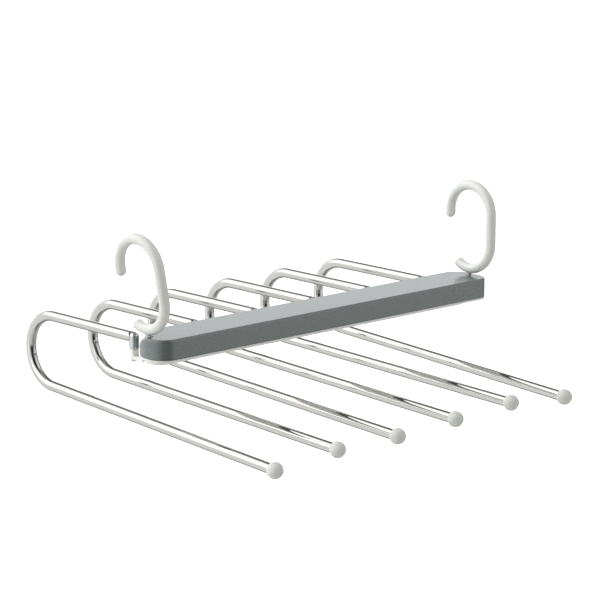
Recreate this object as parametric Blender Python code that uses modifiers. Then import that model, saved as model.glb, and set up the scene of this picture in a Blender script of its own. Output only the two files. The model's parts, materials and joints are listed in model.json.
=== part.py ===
"""Multi tier trouser hanger: a plastic bar with two swivel hooks and six steel arms that fold along it.

Lengths are in metres. X runs along the arms, from their bends to their ball ends, Y along the bar, Z up.
The origin lies midway between the hooks, where a wardrobe rod bears on the top inside of their arcs.
"""
import math

import bmesh
import bpy
from mathutils import Matrix, Vector

# Arms: bent tubes, each on an upright pin behind the bar. Their lower legs don't all fall alike.
LOWER_LEG_FALLS = tuple(math.radians(degrees) for degrees in (3.4, 2.5, 2.7, 2.2, 1.7, 3.0))
ARM_COUNT = len(LOWER_LEG_FALLS)
TUBE_RADIUS = 0.0043
TUBE_WALL = 0.0008
BEND_RADIUS = 0.0295
UPPER_LEG_LENGTH = 0.104
LOWER_LEG_REACH = 0.165
BALL_RADIUS = 0.0066
BALL_SEAT_DEPTH = 0.001

# Hinge of each arm
PIN_RADIUS = 0.00125
PIN_STANDOFF = 0.007
PIN_HEAD_RADIUS = 0.0024
PIN_HEAD_HEIGHT = 0.0012
HINGE_HEAD_RADIUS = 0.0041
HINGE_HEAD_DROP = 0.009
HINGE_ROOF = 0.002
SPIGOT_LENGTH = 0.012
LUG_DEPTH = 0.0055
LUG_WIDTH = 0.0065
LUG_FOOT_HEIGHT = 0.0032

# Bar: a grey cover over a white tray
BAR_LENGTH = 0.372
BAR_WIDTH = 0.0435
COVER_HEIGHT = 0.016
COVER_WALL = 0.002
COVER_FILLET = 0.0015
CORNER_RADIUS = 0.015
HINGE_CORNER_RADIUS = 0.027
LEAST_SIDE = 0.001
NEAR_ARM_END_DISTANCE = 0.0145
FAR_ARM_END_DISTANCE = 0.0325
ARM_BELOW_COVER_TOP = 0.0064
LIP_THICKNESS = 0.0018
RIB_THICKNESS = 0.0014
RIB_HEIGHT = 0.003
KEEL_DEPTH = 0.0062
KEEL_WIDTH = 0.0241
KEEL_BACK_INSET = 0.0015
KEEL_END_INSET = 0.012
KEEL_WALL = 0.0026
KEEL_FLOOR = 0.002
KEEL_CORNER_RADIUS = 0.01

# Hooks: they stand loose in their bores, and the near one leans over as far as its bore lets it
HOOK_RADIUS = 0.0239
HOOK_ROD_RADIUS = 0.0043
HOOK_STRAIGHT = 0.025
HOOK_TIP_DROP = 0.003
HOOK_TAIL_TURN = math.radians(36)
HOOK_TIP_TURN = math.radians(84)
HOOK_CLEARANCE = 0.0016
HOOK_END_DISTANCE = 0.0065
HOOK_LEAN = math.radians(8)
HOOK_LEAN_HEADING = math.radians(230)
HOOK_LEAN_SHARES = (1.0, 0.0)
STEM_RADIUS = 0.0021
STEM_OFFSET = 0.0015
STEM_NECK_RADIUS = 0.0014
STEM_FOOT_HEIGHT = 0.0015
STEM_BOSS_RADIUS = 0.0048
STEM_BOSS_LENGTH = 0.0055
CLIP_RADIUS = 0.0037
CLIP_THICKNESS = 0.0008

# Screws that hold the tray to the cover
SCREW_COUNT = 4
SCREW_END_DISTANCE = 0.051
SCREW_SHANK_RADIUS = 0.0012
SCREW_HEAD_RADIUS = 0.0026
SCREW_HEAD_HEIGHT = 0.0018
SCREW_LENGTH = 0.01
SCREW_SLOT_WIDTH = 0.0008
SCREW_SLOT_DEPTH = 0.0009
SCREW_SINK = 0.0004
SCREW_CUP_ROOF = 0.0016
SCREW_CUP_WALL = 0.0016
SCREW_BOSS_RADIUS = 0.0034

# Shared allowances
GAP = 0.0003
OVERRUN = 0.002
WELD = 0.00001

# Facets of round forms
TUBE_SIDES = 12
BORE_SIDES = 8
SMALL_SIDES = 12
BALL_SIDES = 16
BALL_RINGS = 10
BEND_STEPS = 14
HOOK_ARC_STEPS = 16
CORNER_STEPS = 6
DOME_STEPS = 4
SHARP_ANGLE = math.radians(35)

# Places worked out from the sizes above
HOOK_UPPER_Z = HOOK_ROD_RADIUS - HOOK_RADIUS
HOOK_LOWER_Z = HOOK_UPPER_Z - HOOK_STRAIGHT
COVER_TOP_Z = HOOK_LOWER_Z - HOOK_RADIUS - HOOK_ROD_RADIUS - HOOK_CLEARANCE
COVER_BOTTOM_Z = COVER_TOP_Z - COVER_HEIGHT
CEILING_Z = COVER_TOP_Z - COVER_WALL
TRAY_TOP_Z = COVER_BOTTOM_Z - GAP
LIP_BOTTOM_Z = TRAY_TOP_Z - LIP_THICKNESS
KEEL_BOTTOM_Z = LIP_BOTTOM_Z - KEEL_DEPTH
KEEL_FLOOR_Z = KEEL_BOTTOM_Z + KEEL_FLOOR
ARM_Z = COVER_TOP_Z - ARM_BELOW_COVER_TOP
STEM_X = -STEM_OFFSET
BAR_BACK_X = STEM_X - BAR_WIDTH / 2
BAR_FRONT_X = STEM_X + BAR_WIDTH / 2
BAR_END_Y = BAR_LENGTH / 2
ARM_PITCH = (BAR_LENGTH - NEAR_ARM_END_DISTANCE - FAR_ARM_END_DISTANCE) / (ARM_COUNT - 1)
PIN_X = BAR_BACK_X - PIN_STANDOFF
LUG_TOP_Z = ARM_Z - HINGE_HEAD_DROP - GAP
HOOK_Y = BAR_END_Y - HOOK_END_DISTANCE
BORE_LENGTH = COVER_WALL + STEM_BOSS_LENGTH
BORE_MIDDLE_Z = COVER_TOP_Z - BORE_LENGTH / 2
STEM_BORE_RADIUS = STEM_RADIUS + GAP + BORE_LENGTH / 2 * math.tan(HOOK_LEAN)
NECK_TOP_Z = COVER_TOP_Z - BORE_LENGTH - GAP - CLIP_RADIUS * math.sin(HOOK_LEAN)
KEEL_BACK_X = BAR_BACK_X + KEEL_BACK_INSET
KEEL_FRONT_X = KEEL_BACK_X + KEEL_WIDTH
SCREW_X = (KEEL_BACK_X + KEEL_FRONT_X) / 2
SCREW_PITCH = (BAR_LENGTH - 2 * SCREW_END_DISTANCE) / (SCREW_COUNT - 1)
SCREW_CUP_Z = KEEL_BOTTOM_Z + SCREW_SINK + SCREW_HEAD_HEIGHT + GAP + SCREW_CUP_ROOF

WHITE_PLASTIC = ((0.86, 0.87, 0.86, 1.0), 0.35, 0.0)
TRAY_PLASTIC = ((0.80, 0.81, 0.80, 1.0), 0.45, 0.0)
GREY_PLASTIC = ((0.27, 0.29, 0.30, 1.0), 0.5, 0.0)
BALL_PLASTIC = ((0.70, 0.71, 0.71, 1.0), 0.5, 0.0)
POLISHED_STEEL = ((0.78, 0.78, 0.76, 1.0), 0.12, 1.0)
PLAIN_STEEL = ((0.55, 0.56, 0.58, 1.0), 0.3, 1.0)


def clear_scene():
    """Remove whatever the file holds, so that the part starts from nothing."""
    for obj in list(bpy.data.objects):
        bpy.data.objects.remove(obj, do_unlink=True)


def make_collection(name):
    """Return a new collection under the scene's own."""
    collection = bpy.data.collections.new(name)
    bpy.context.scene.collection.children.link(collection)
    return collection


def make_material(name, look):
    """Return a Principled material of the given colour, roughness and metallic value."""
    colour, roughness, metallic = look
    material = bpy.data.materials.new(name)
    material.use_nodes = True
    shader = material.node_tree.nodes["Principled BSDF"]
    shader.inputs["Base Color"].default_value = colour
    shader.inputs["Roughness"].default_value = roughness
    shader.inputs["Metallic"].default_value = metallic
    return material


def make_object(mesh, name="shape"):
    """Return an object for a mesh, in the working collection."""
    obj = bpy.data.objects.new(name, mesh)
    WORK.objects.link(obj)
    return obj


def evaluated_mesh(obj):
    """Return the object's mesh with its modifiers in it, in world space, and remove the object."""
    bpy.context.view_layer.update()
    depsgraph = bpy.context.evaluated_depsgraph_get()
    mesh = bpy.data.meshes.new_from_object(obj.evaluated_get(depsgraph))
    mesh.transform(obj.matrix_world)
    bpy.data.objects.remove(obj, do_unlink=True)
    return mesh


def welded(mesh):
    """Weld a curve's loose caps to its sides and point all faces outwards."""
    form = bmesh.new()
    form.from_mesh(mesh)
    bmesh.ops.remove_doubles(form, verts=form.verts, dist=WELD)
    bmesh.ops.recalc_face_normals(form, faces=form.faces)
    form.to_mesh(mesh)
    form.free()
    return mesh


def combined(base, others, operation):
    """Return the base shape with each of the others cut from it or joined to it."""
    for other in others:
        other.hide_render = True
        other.display_type = "WIRE"
        modifier = base.modifiers.new(operation.lower(), "BOOLEAN")
        modifier.operation = operation
        modifier.solver = "EXACT"
        modifier.object = other
    mesh = evaluated_mesh(base)
    for other in others:
        bpy.data.objects.remove(other, do_unlink=True)
    return make_object(mesh)


def cylinder(radius, z_low, z_high, x=0.0, y=0.0, sides=SMALL_SIDES):
    """Return an upright cylinder between two heights."""
    form = bmesh.new()
    middle = Matrix.Translation((x, y, (z_low + z_high) / 2))
    bmesh.ops.create_cone(form, cap_ends=True, segments=sides, radius1=radius, radius2=radius,
                          depth=z_high - z_low, matrix=middle)
    mesh = bpy.data.meshes.new("cylinder")
    form.to_mesh(mesh)
    form.free()
    return make_object(mesh)


def box(x_low, x_high, y_low, y_high, z_low, z_high):
    """Return a box between two corners."""
    size = Vector((x_high - x_low, y_high - y_low, z_high - z_low))
    middle = Vector((x_high + x_low, y_high + y_low, z_high + z_low)) / 2
    form = bmesh.new()
    bmesh.ops.create_cube(form, size=1.0, matrix=Matrix.Translation(middle) @ Matrix.Diagonal(size).to_4x4())
    mesh = bpy.data.meshes.new("box")
    form.to_mesh(mesh)
    form.free()
    return make_object(mesh)


def turned(profile, sides=SMALL_SIDES):
    """Return the solid that a profile of (radius, z) points makes round the Z axis, from top to bottom."""
    mesh = bpy.data.meshes.new("turned")
    edges = [(index, index + 1) for index in range(len(profile) - 1)]
    mesh.from_pydata([(radius, 0.0, z) for radius, z in profile], edges, [])
    obj = make_object(mesh)
    screw = obj.modifiers.new("screw", "SCREW")
    screw.axis = "Z"
    screw.steps = sides
    screw.render_steps = sides
    screw.use_merge_vertices = True
    screw.merge_threshold = WELD
    return make_object(welded(evaluated_mesh(obj)))


def swept(points, radius, sides, taper_shares=None):
    """Return a round rod along points in the XZ plane, as thick at each point as its share of the radius."""
    curve = bpy.data.curves.new("rod", "CURVE")
    curve.dimensions = "3D"
    curve.bevel_depth = radius
    curve.bevel_resolution = (sides - 4) // 2
    curve.use_fill_caps = True
    spline = curve.splines.new("POLY")
    spline.points.add(len(points) - 1)
    for index, (x, z) in enumerate(points):
        spline.points[index].co = (x, 0.0, z, 1.0)
        spline.points[index].radius = taper_shares[index] if taper_shares else 1.0
    return make_object(welded(evaluated_mesh(make_object(curve))))


def fitted_radii(radii, width, length):
    """Return corner radii that fit on a rectangle's sides, shrunk alike where two would meet on a side."""
    near_back, near_front, far_front, far_back = radii
    room = min(width / (near_back + near_front), length / (near_front + far_front),
               width / (far_front + far_back), length / (far_back + near_back), 1.0)
    return [radius * room for radius in radii]


def rounded_outline(x_low, x_high, y_low, y_high, radii, inset=0.0):
    """Return a rectangle's outline, drawn in by an inset, with a radius for each corner.

    The radii are those of the back near, front near, front far and back far corners before the inset.
    """
    corners = ((x_low, y_low, 1, 1), (x_high, y_low, -1, 1), (x_high, y_high, -1, -1), (x_low, y_high, 1, -1))
    fitted = fitted_radii(radii, x_high - x_low - LEAST_SIDE, y_high - y_low - LEAST_SIDE)
    points = []
    for index, (x, y, inward_x, inward_y) in enumerate(corners):
        radius = fitted[index]
        start = math.pi + index * math.pi / 2
        for step in range(CORNER_STEPS + 1):
            angle = start + step / CORNER_STEPS * math.pi / 2
            points.append((x + inward_x * radius + (radius - inset) * math.cos(angle),
                           y + inward_y * radius + (radius - inset) * math.sin(angle)))
    return points


def plate(outline, z_low, z_high):
    """Return a flat piece of the given outline between two heights."""
    curve = bpy.data.curves.new("outline", "CURVE")
    curve.dimensions = "2D"
    curve.fill_mode = "BOTH"
    curve.extrude = (z_high - z_low) / 2
    spline = curve.splines.new("POLY")
    spline.use_cyclic_u = True
    spline.points.add(len(outline) - 1)
    for point, (x, y) in zip(spline.points, outline):
        point.co = (x, y, 0.0, 1.0)
    obj = make_object(curve)
    obj.location.z = (z_high + z_low) / 2
    return make_object(welded(evaluated_mesh(obj)))


def bar_outline(inset=0.0):
    """Return the bar's plan outline, drawn in by an inset. The corner by the end hinge is the roundest."""
    radii = (HINGE_CORNER_RADIUS, CORNER_RADIUS, CORNER_RADIUS, CORNER_RADIUS)
    return rounded_outline(BAR_BACK_X, BAR_FRONT_X, -BAR_END_Y, BAR_END_Y, radii, inset)


def keel_outline(inset=0.0):
    """Return the plan outline of the channel under the tray, drawn in by an inset."""
    end_y = BAR_END_Y - KEEL_END_INSET
    radii = (KEEL_CORNER_RADIUS,) * 4
    return rounded_outline(KEEL_BACK_X, KEEL_FRONT_X, -end_y, end_y, radii, inset)


def fillet_top(obj, z, radius):
    """Round the outer edges that lie at a height."""
    form = bmesh.new()
    form.from_mesh(obj.data)
    rim = [edge for edge in form.edges
           if all(abs(vert.co.z - z) < WELD for vert in edge.verts) and edge.calc_face_angle() > SHARP_ANGLE]
    bmesh.ops.bevel(form, geom=rim, offset=radius, segments=DOME_STEPS, profile=0.5, affect="EDGES")
    form.to_mesh(obj.data)
    form.free()
    return obj


def finish(obj, name, look, parent=None):
    """Name a finished shape, give it its material and put it in the part's collection."""
    mesh = obj.data
    mesh.name = name
    mesh.shade_smooth()
    mesh.set_sharp_from_angle(angle=SHARP_ANGLE)
    mesh.materials.clear()
    mesh.materials.append(make_material(name, look))
    WORK.objects.unlink(obj)
    PARTS.objects.link(obj)
    obj.name = name
    if parent is not None:
        obj.parent = parent
    return obj


def copies(obj, count):
    """Return the shape and as many copies as make up the count, each with its own mesh."""
    return [obj] + [make_object(obj.data.copy()) for _ in range(count - 1)]


def axis_empty(name, location):
    """Return an empty that marks a joint's axis."""
    empty = bpy.data.objects.new(name, None)
    empty.location = location
    PARTS.objects.link(empty)
    return empty


def arm_y(index):
    """Return the place along the bar of an arm's pin."""
    return NEAR_ARM_END_DISTANCE - BAR_END_Y + index * ARM_PITCH


def arm_route(fall):
    """Return an arm's centre line from its pin, as (x, z) points about the pin's axis at the upper leg.

    The lower leg runs down to its ball by the angle of the fall.
    """
    bend_x = -UPPER_LEG_LENGTH
    turn = math.pi - fall
    points = [(-HINGE_HEAD_RADIUS / 2, 0.0)]
    for step in range(BEND_STEPS + 1):
        angle = step / BEND_STEPS * turn
        points.append((bend_x - BEND_RADIUS * math.sin(angle), BEND_RADIUS * (math.cos(angle) - 1)))
    start_x, start_z = points[-1]
    run = LOWER_LEG_REACH - start_x
    points.append((LOWER_LEG_REACH, start_z - run * math.tan(fall)))
    return points


def lengthened(points, first, last):
    """Return the points with the first and the last moved outwards along their ends."""
    moved = list(points)
    for end, neighbour, length in ((0, 1, first), (-1, -2, last)):
        tip = Vector(points[end])
        away = (tip - Vector(points[neighbour])).normalized()
        moved[end] = tuple(tip + away * length)
    return moved


def make_tube(fall):
    """Return an arm's bent tube, hollow, with its upper end shaped round the hinge head."""
    outer_route = lengthened(arm_route(fall), 0.0, BALL_SEAT_DEPTH)
    bore_route = lengthened(outer_route, OVERRUN, OVERRUN)
    tube = swept(outer_route, TUBE_RADIUS, TUBE_SIDES)
    bore = swept(bore_route, TUBE_RADIUS - TUBE_WALL, BORE_SIDES)
    cope = cylinder(HINGE_HEAD_RADIUS + GAP, -TUBE_RADIUS - OVERRUN, TUBE_RADIUS + OVERRUN)
    return combined(tube, [bore, cope], "DIFFERENCE")


def make_ball(fall):
    """Return a ball cap with a blind seat for the tube's end."""
    form = bmesh.new()
    bmesh.ops.create_uvsphere(form, u_segments=BALL_SIDES, v_segments=BALL_RINGS, radius=BALL_RADIUS)
    mesh = bpy.data.meshes.new("ball")
    form.to_mesh(mesh)
    form.free()
    seat = cylinder(TUBE_RADIUS + GAP, -BALL_SEAT_DEPTH - GAP, BALL_RADIUS + OVERRUN, sides=TUBE_SIDES)
    ball = combined(make_object(mesh), [seat], "DIFFERENCE")
    x, z = arm_route(fall)[-1]
    lean = Matrix.Rotation(fall - math.pi / 2, 4, "Y")
    ball.data.transform(Matrix.Translation((x, 0.0, z)) @ lean)
    return ball


def make_hinge_head():
    """Return the domed metal end of an arm: a bore for the pin below and a spigot into the tube."""
    radius = HINGE_HEAD_RADIUS
    turns = [step / DOME_STEPS * math.pi / 2 for step in range(DOME_STEPS + 1)]
    dome = [(radius * math.sin(turn), radius * math.cos(turn)) for turn in turns]
    bore_top = radius - HINGE_ROOF
    bore_radius = PIN_RADIUS + GAP
    profile = dome + [(radius, -HINGE_HEAD_DROP), (bore_radius, -HINGE_HEAD_DROP), (bore_radius, bore_top),
                      (0.0, bore_top)]
    head = turned(profile, TUBE_SIDES)
    spigot_radius = TUBE_RADIUS - TUBE_WALL - 2 * GAP
    spigot = cylinder(spigot_radius, bore_radius + GAP, SPIGOT_LENGTH, sides=BORE_SIDES)
    spigot.data.transform(Matrix.Rotation(-math.pi / 2, 4, "Y"))
    return combined(head, [spigot], "UNION")


def make_hinge_pin():
    """Return an arm's pin: its shank turns in the tray's lug and its head sits below the lug."""
    top = HINGE_HEAD_RADIUS - HINGE_ROOF - GAP
    under_lug = KEEL_BOTTOM_Z - GAP - ARM_Z
    profile = [(0.0, top), (PIN_RADIUS, top), (PIN_RADIUS, under_lug), (PIN_HEAD_RADIUS, under_lug),
               (PIN_HEAD_RADIUS, under_lug - PIN_HEAD_HEIGHT), (0.0, under_lug - PIN_HEAD_HEIGHT)]
    return turned(profile)


def make_arms():
    """Make the arms, each on an empty at its pin."""
    heads = copies(make_hinge_head(), ARM_COUNT)
    pins = copies(make_hinge_pin(), ARM_COUNT)
    for index, fall in enumerate(LOWER_LEG_FALLS):
        axis = axis_empty(f"arm_{index + 1}_axis", (PIN_X, arm_y(index), ARM_Z))
        pieces = (("tube", make_tube(fall), POLISHED_STEEL), ("ball_cap", make_ball(fall), BALL_PLASTIC),
                  ("hinge_head", heads[index], PLAIN_STEEL), ("hinge_pin", pins[index], PLAIN_STEEL))
        for kind, obj, look in pieces:
            finish(obj, f"{kind}_{index + 1}", look, axis)


def hook_route():
    """Return a hook's centre line from its tip to its tail, about its stem's axis at the rod's height."""
    points = [(-HOOK_RADIUS, HOOK_UPPER_Z - HOOK_TIP_DROP)]
    for step in range(HOOK_ARC_STEPS + 1):
        angle = math.pi * (1 - step / HOOK_ARC_STEPS)
        points.append((HOOK_RADIUS * math.cos(angle), HOOK_UPPER_Z + HOOK_RADIUS * math.sin(angle)))
    sweep = math.pi / 2 + HOOK_TAIL_TURN
    for step in range(HOOK_ARC_STEPS + 1):
        angle = -sweep * step / HOOK_ARC_STEPS
        points.append((HOOK_RADIUS * math.cos(angle), HOOK_LOWER_Z + HOOK_RADIUS * math.sin(angle)))
    return [(x + STEM_OFFSET, z) for x, z in points]


def make_hook():
    """Return a C-shaped hook with a round tip, and a stem with a neck for its clip."""
    route = hook_route()
    tip_x, tip_z = route[0]
    tip = []
    tip_shares = []
    for step in range(DOME_STEPS):
        angle = HOOK_TIP_TURN * (1 - step / DOME_STEPS)
        tip.append((tip_x, tip_z - HOOK_ROD_RADIUS * math.sin(angle)))
        tip_shares.append(math.cos(angle))
    rod = swept(tip + route, HOOK_ROD_RADIUS, TUBE_SIDES, tip_shares + [1.0] * len(route))
    stem_top = HOOK_LOWER_Z - HOOK_RADIUS + STEM_RADIUS / 2
    neck_bottom = NECK_TOP_Z - CLIP_THICKNESS - GAP
    foot = neck_bottom - STEM_FOOT_HEIGHT
    shoulder = NECK_TOP_Z + GAP
    profile = [(0.0, stem_top), (STEM_RADIUS, stem_top), (STEM_RADIUS, shoulder), (STEM_NECK_RADIUS, shoulder),
               (STEM_NECK_RADIUS, neck_bottom), (STEM_RADIUS, neck_bottom), (STEM_RADIUS, foot), (0.0, foot)]
    return combined(rod, [turned(profile)], "UNION")


def make_clip():
    """Return the open spring clip in the stem's neck."""
    top = NECK_TOP_Z
    bottom = top - CLIP_THICKNESS
    inner = STEM_NECK_RADIUS + GAP
    disc = cylinder(CLIP_RADIUS, bottom, top, sides=TUBE_SIDES)
    bore = cylinder(inner, bottom - OVERRUN, top + OVERRUN, sides=TUBE_SIDES)
    mouth = box(-CLIP_RADIUS - OVERRUN, 0.0, -STEM_NECK_RADIUS, STEM_NECK_RADIUS,
                bottom - OVERRUN, top + OVERRUN)
    return combined(disc, [bore, mouth], "DIFFERENCE")


def leaned(obj, share):
    """Lean a hook or its clip over in the bore by a share of the play there."""
    hinge = Vector((-math.sin(HOOK_LEAN_HEADING), math.cos(HOOK_LEAN_HEADING), 0.0))
    middle = Matrix.Translation((0.0, 0.0, BORE_MIDDLE_Z))
    obj.data.transform(middle @ Matrix.Rotation(HOOK_LEAN * share, 4, hinge) @ middle.inverted())
    return obj


def make_hooks():
    """Make the two hooks and their clips, each pair on an empty at its stem."""
    places = (-HOOK_Y, HOOK_Y)
    axes = [axis_empty(f"hook_{index + 1}_axis", (STEM_X, y, 0.0)) for index, y in enumerate(places)]
    for kind, maker, look in (("hook", make_hook, WHITE_PLASTIC), ("hook_clip", make_clip, PLAIN_STEEL)):
        for index, obj in enumerate(copies(maker(), len(places))):
            finish(leaned(obj, HOOK_LEAN_SHARES[index]), f"{kind}_{index + 1}", look, axes[index])


def screw_places():
    """Return the places along the bar of the screws."""
    return [(index - (SCREW_COUNT - 1) / 2) * SCREW_PITCH for index in range(SCREW_COUNT)]


def make_cover():
    """Make the grey cover: a shell open below, with bosses for the hooks and the screws."""
    cover = fillet_top(plate(bar_outline(), COVER_BOTTOM_Z, COVER_TOP_Z), COVER_TOP_Z, COVER_FILLET)
    hollow = plate(bar_outline(COVER_WALL), COVER_BOTTOM_Z - OVERRUN, CEILING_Z)
    cover = combined(cover, [hollow], "DIFFERENCE")
    inside_roof = (CEILING_Z + COVER_TOP_Z) / 2
    boss_foot = COVER_TOP_Z - BORE_LENGTH
    screw_tip = KEEL_BOTTOM_Z + SCREW_SINK + SCREW_HEAD_HEIGHT + SCREW_LENGTH
    bosses = []
    holes = []
    for y in (-HOOK_Y, HOOK_Y):
        bosses.append(cylinder(STEM_BOSS_RADIUS, boss_foot, inside_roof, STEM_X, y))
        holes.append(cylinder(STEM_BORE_RADIUS, boss_foot - OVERRUN, COVER_TOP_Z + OVERRUN, STEM_X, y))
    for y in screw_places():
        bosses.append(cylinder(SCREW_BOSS_RADIUS, SCREW_CUP_Z + GAP, inside_roof, SCREW_X, y))
        holes.append(cylinder(SCREW_SHANK_RADIUS + GAP, SCREW_CUP_Z - OVERRUN, screw_tip + GAP, SCREW_X, y))
    cover = combined(cover, bosses, "UNION")
    finish(combined(cover, holes, "DIFFERENCE"), "top_cover", GREY_PLASTIC)


def lug_blocks(y):
    """Return an arm's lug on the tray: an upright that the pin runs through and the foot that carries it."""
    x_low = PIN_X - LUG_DEPTH / 2
    x_high = PIN_X + LUG_DEPTH / 2
    y_low = y - LUG_WIDTH / 2
    y_high = y + LUG_WIDTH / 2
    upright = box(x_low, x_high, y_low, y_high, KEEL_BOTTOM_Z, LUG_TOP_Z)
    reach = KEEL_BACK_X + KEEL_CORNER_RADIUS / 2
    foot = box(PIN_X, reach, y_low, y_high, KEEL_BOTTOM_Z, KEEL_BOTTOM_Z + LUG_FOOT_HEIGHT)
    return combined(upright, [foot], "UNION")


def make_tray():
    """Make the white tray: a lip under the cover, a locating rib, a hollow keel, lugs and screw cups."""
    tray = plate(bar_outline(), LIP_BOTTOM_Z, TRAY_TOP_Z)
    inside_lip = (LIP_BOTTOM_Z + TRAY_TOP_Z) / 2
    rib_inset = COVER_WALL + GAP
    rib_top = TRAY_TOP_Z + RIB_HEIGHT
    rib_block = plate(bar_outline(rib_inset), inside_lip, rib_top)
    rib_hollow = plate(bar_outline(rib_inset + RIB_THICKNESS), LIP_BOTTOM_Z, rib_top + OVERRUN)
    rib = combined(rib_block, [rib_hollow], "DIFFERENCE")
    keel = plate(keel_outline(), KEEL_BOTTOM_Z, inside_lip)
    lugs = [lug_blocks(arm_y(index)) for index in range(ARM_COUNT)]
    tray = combined(tray, [rib, keel] + lugs, "UNION")
    hollow = plate(keel_outline(KEEL_WALL), KEEL_FLOOR_Z, TRAY_TOP_Z + OVERRUN)
    tray = combined(tray, [hollow], "DIFFERENCE")
    cup_radius = SCREW_HEAD_RADIUS + GAP + SCREW_CUP_WALL
    seat = SCREW_CUP_Z - SCREW_CUP_ROOF
    under = KEEL_BOTTOM_Z - OVERRUN
    cups = []
    cuts = []
    for y in screw_places():
        cups.append(cylinder(cup_radius, KEEL_BOTTOM_Z + KEEL_FLOOR / 2, SCREW_CUP_Z, SCREW_X, y))
        cuts.append(cylinder(SCREW_HEAD_RADIUS + GAP, under, seat, SCREW_X, y))
        cuts.append(cylinder(SCREW_SHANK_RADIUS + GAP, KEEL_BOTTOM_Z, SCREW_CUP_Z + OVERRUN, SCREW_X, y))
    for index in range(ARM_COUNT):
        cuts.append(cylinder(PIN_RADIUS + GAP, under, LUG_TOP_Z + OVERRUN, PIN_X, arm_y(index)))
    tray = combined(tray, cups, "UNION")
    finish(combined(tray, cuts, "DIFFERENCE"), "lower_tray", TRAY_PLASTIC)


def make_screws():
    """Make the slotted screws that hold the tray up against the cover's bosses."""
    under = KEEL_BOTTOM_Z + SCREW_SINK
    shoulder = under + SCREW_HEAD_HEIGHT
    tip = shoulder + SCREW_LENGTH
    profile = [(0.0, tip), (SCREW_SHANK_RADIUS, tip), (SCREW_SHANK_RADIUS, shoulder),
               (SCREW_HEAD_RADIUS, shoulder), (SCREW_HEAD_RADIUS, under), (0.0, under)]
    slot = box(-SCREW_HEAD_RADIUS - OVERRUN, SCREW_HEAD_RADIUS + OVERRUN, -SCREW_SLOT_WIDTH / 2,
               SCREW_SLOT_WIDTH / 2, under - OVERRUN, under + SCREW_SLOT_DEPTH)
    screw = combined(turned(profile), [slot], "DIFFERENCE")
    for index, (obj, y) in enumerate(zip(copies(screw, SCREW_COUNT), screw_places())):
        finish(obj, f"screw_{index + 1}", PLAIN_STEEL).location = (SCREW_X, y, 0.0)


clear_scene()
PARTS = make_collection("multi_tier_trouser_hanger")
WORK = make_collection("cutters")
make_cover()
make_tray()
make_arms()
make_hooks()
make_screws()
bpy.context.view_layer.update()
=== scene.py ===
"""Looks of the multi tier trouser hanger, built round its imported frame.

Lengths are in metres, in the frame's own axes: X along the arms, Y along the bar, Z up. The fine pieces
take the places of the frame's plain solids, and their sizes are read from the frame where it shows them.
"""
import json
import math

import bmesh
import bpy
from mathutils import Matrix, Vector


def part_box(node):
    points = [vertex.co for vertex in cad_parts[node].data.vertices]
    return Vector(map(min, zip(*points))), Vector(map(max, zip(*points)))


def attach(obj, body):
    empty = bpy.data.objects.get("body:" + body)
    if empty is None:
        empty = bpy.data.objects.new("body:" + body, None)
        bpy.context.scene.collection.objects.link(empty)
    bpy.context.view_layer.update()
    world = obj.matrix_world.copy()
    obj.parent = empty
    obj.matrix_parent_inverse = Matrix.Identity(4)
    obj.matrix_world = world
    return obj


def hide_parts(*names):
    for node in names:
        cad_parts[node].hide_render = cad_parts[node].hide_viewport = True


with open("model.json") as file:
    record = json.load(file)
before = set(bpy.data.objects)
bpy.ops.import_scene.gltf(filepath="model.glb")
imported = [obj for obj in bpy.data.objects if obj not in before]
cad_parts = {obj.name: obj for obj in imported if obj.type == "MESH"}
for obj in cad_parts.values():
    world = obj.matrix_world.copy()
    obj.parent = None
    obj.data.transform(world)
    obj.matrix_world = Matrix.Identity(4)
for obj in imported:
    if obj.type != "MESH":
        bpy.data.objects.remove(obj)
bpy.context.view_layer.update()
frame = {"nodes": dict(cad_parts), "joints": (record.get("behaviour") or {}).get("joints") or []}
JOINTS = {joint["name"]: joint for joint in frame["joints"]}

# Camera, fitted to the photograph's 612 by 612 pixels
CAMERA_PLACE = (1.6183, -1.5260, 0.4066)
CAMERA_AZIMUTH = math.radians(46.95)
CAMERA_ELEVATION = math.radians(12.24)
CAMERA_ROLL = math.radians(0.16)
CAMERA_LENS = 162.9
SENSOR_WIDTH = 36.0

# Stage: the rack hangs as from a wardrobe rod, well above the floor
FLOOR_Z = -2.5
FLOOR_SIZE = 80.0
FLOOR_GLOW = 0.8
FLOOR_COLOUR = (0.86, 0.86, 0.85, 1.0)
FLOOR_ROUGHNESS = 0.8

# Lamps: the name, place, width and power in watts of the large one overhead and of the fill from the
# camera's left
LAMPS = (
    ("overhead_lamp", (-0.3, -0.2, 2.0), 2.2, 10.0),
    ("left_lamp", (-1.4, -1.7, 0.9), 1.6, 9.0),
)

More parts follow.
